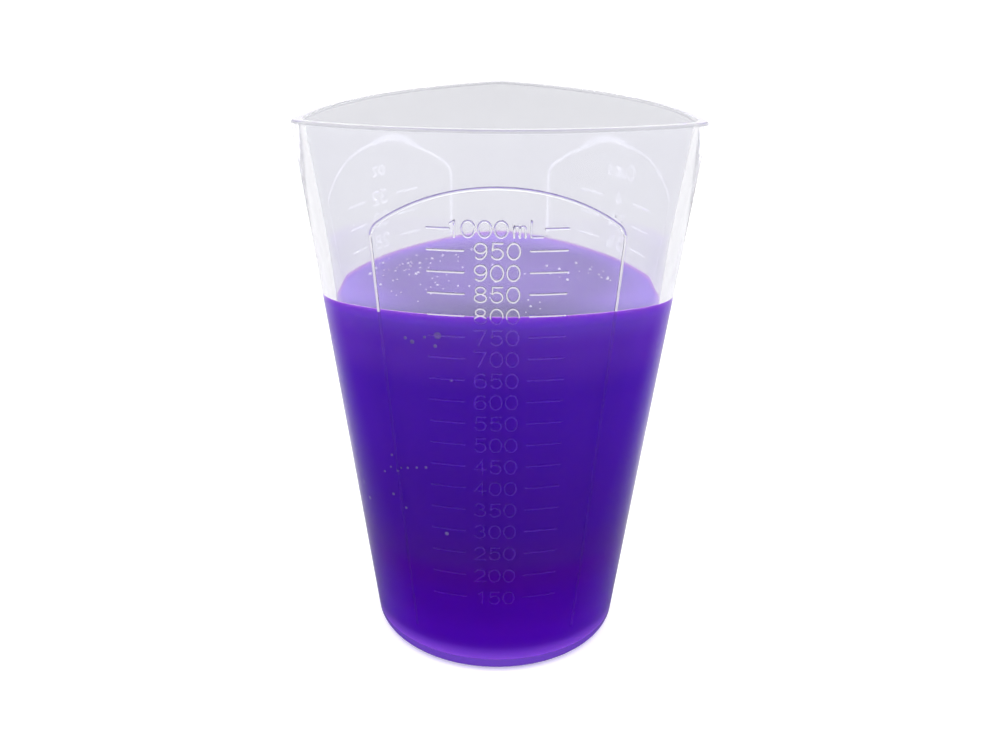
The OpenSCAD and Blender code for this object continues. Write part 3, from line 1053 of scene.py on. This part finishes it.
def paleFloor():
    material, tree, shader = newMaterial("paleFloor")
    grain = tree.nodes.new("ShaderNodeTexNoise")
    grain.inputs["Scale"].default_value = 60.0
    colour = addColourMix(tree, grain.outputs["Fac"], (0.86, 0.86, 0.86), (0.88, 0.88, 0.88))
    tree.links.new(colour, shader.inputs["Base Color"])
    shader.inputs["Roughness"].default_value = 1.0
    shader.inputs["Specular IOR Level"].default_value = 0.0
    path = tree.nodes.new("ShaderNodeLightPath")
    bright = addRange(tree, path.outputs["Is Camera Ray"], 0.0, room["washedOut"])
    tree.links.new(bright, shader.inputs["Emission Strength"])
    shader.inputs["Emission Color"].default_value = (1, 1, 1, 1)
    # painted reflection: only mirrored rays see the floor in front of the cup dark
    dark = tree.nodes.new("ShaderNodeBsdfDiffuse")
    dark.inputs["Color"].default_value = (0.08, 0.08, 0.09, 1)
    split = addPlace(tree, "Object")[1]
    near = addMask(tree, split.outputs["Y"], *room["floorDim"])
    both = tree.nodes.new("ShaderNodeMixShader")
    leave = next(n for n in tree.nodes if n.type == "OUTPUT_MATERIAL")
    tree.links.new(dimRoom(tree, near), both.inputs[0])
    tree.links.new(shader.outputs["BSDF"], both.inputs[1])
    tree.links.new(dark.outputs["BSDF"], both.inputs[2])
    tree.links.new(both.outputs["Shader"], leave.inputs["Surface"])
    return material


def buildFloor():
    bm = bmesh.new()
    bmesh.ops.create_grid(bm, x_segments=8, y_segments=8, size=room["floorSize"])
    mesh = bpy.data.meshes.new("floor")
    bm.to_mesh(mesh)
    bm.free()
    mesh.materials.append(paleFloor())
    floor = bpy.data.objects.new("floor", mesh)
    bpy.context.scene.collection.objects.link(floor)
    floor.location.z = -room["floorDrop"]


def buildWorld():
    world = bpy.data.worlds.new("studio")
    bpy.context.scene.world = world
    world.use_nodes = True
    tree = world.node_tree
    tree.nodes.clear()
    split = addPlace(tree, "Generated")[1]
    near = addMask(tree, split.outputs["Y"], *room["worldDim"])
    strength = addRange(tree, dimRoom(tree, near), room["brightness"], room["dimBrightness"])
    back = tree.nodes.new("ShaderNodeBackground")
    back.inputs["Color"].default_value = (1, 1, 1, 1)
    leave = tree.nodes.new("ShaderNodeOutputWorld")
    tree.links.new(strength, back.inputs["Strength"])
    tree.links.new(back.outputs["Background"], leave.inputs["Surface"])
    world.cycles.sampling_method = "NONE"


def addSoftLight(name, size, power, place, aim):
    data = bpy.data.lights.new(name, "AREA")
    data.shape = "DISK"
    data.size = size
    data.energy = power
    light = bpy.data.objects.new(name, data)
    light.location = place
    light.rotation_euler = (Vector(aim) - Vector(place)).to_track_quat("-Z", "Y").to_euler()
    light.visible_camera = False
    light.visible_glossy = False
    light.visible_transmission = False
    bpy.context.scene.collection.objects.link(light)


view = {
    "lens": 37.234,
    "sensor": 36.0,
    "shift": 0.02108,
    "nearest": 0.01,
    "place": (0.00196, -0.32565, 0.22237),
    "tilt": 67.858,
    "roll": -0.00204,
    "swing": 0.0258,
}


def buildCamera():
    data = bpy.data.cameras.new("camera")
    data.lens = view["lens"]
    data.sensor_width = view["sensor"]
    data.shift_x = view["shift"]
    data.clip_start = view["nearest"]
    camera = bpy.data.objects.new("camera", data)
    camera.location = view["place"]
    camera.rotation_euler = (math.radians(view["tilt"]), view["roll"], view["swing"])
    bpy.context.scene.collection.objects.link(camera)
    bpy.context.scene.camera = camera


buildFloor()
buildWorld()
addSoftLight("softTop", 2.6, 14.0, (0.0, 0.0, 1.8), (0, 0, 0.05))
buildCamera()
scene = bpy.context.scene
scene.view_settings.view_transform = "Standard"
scene.cycles.max_bounces = 24
scene.cycles.transmission_bounces = 24
scene.cycles.glossy_bounces = 24     # light runs on inside the thick corners
scene.cycles.transparent_max_bounces = 16
print("cup: stage made")
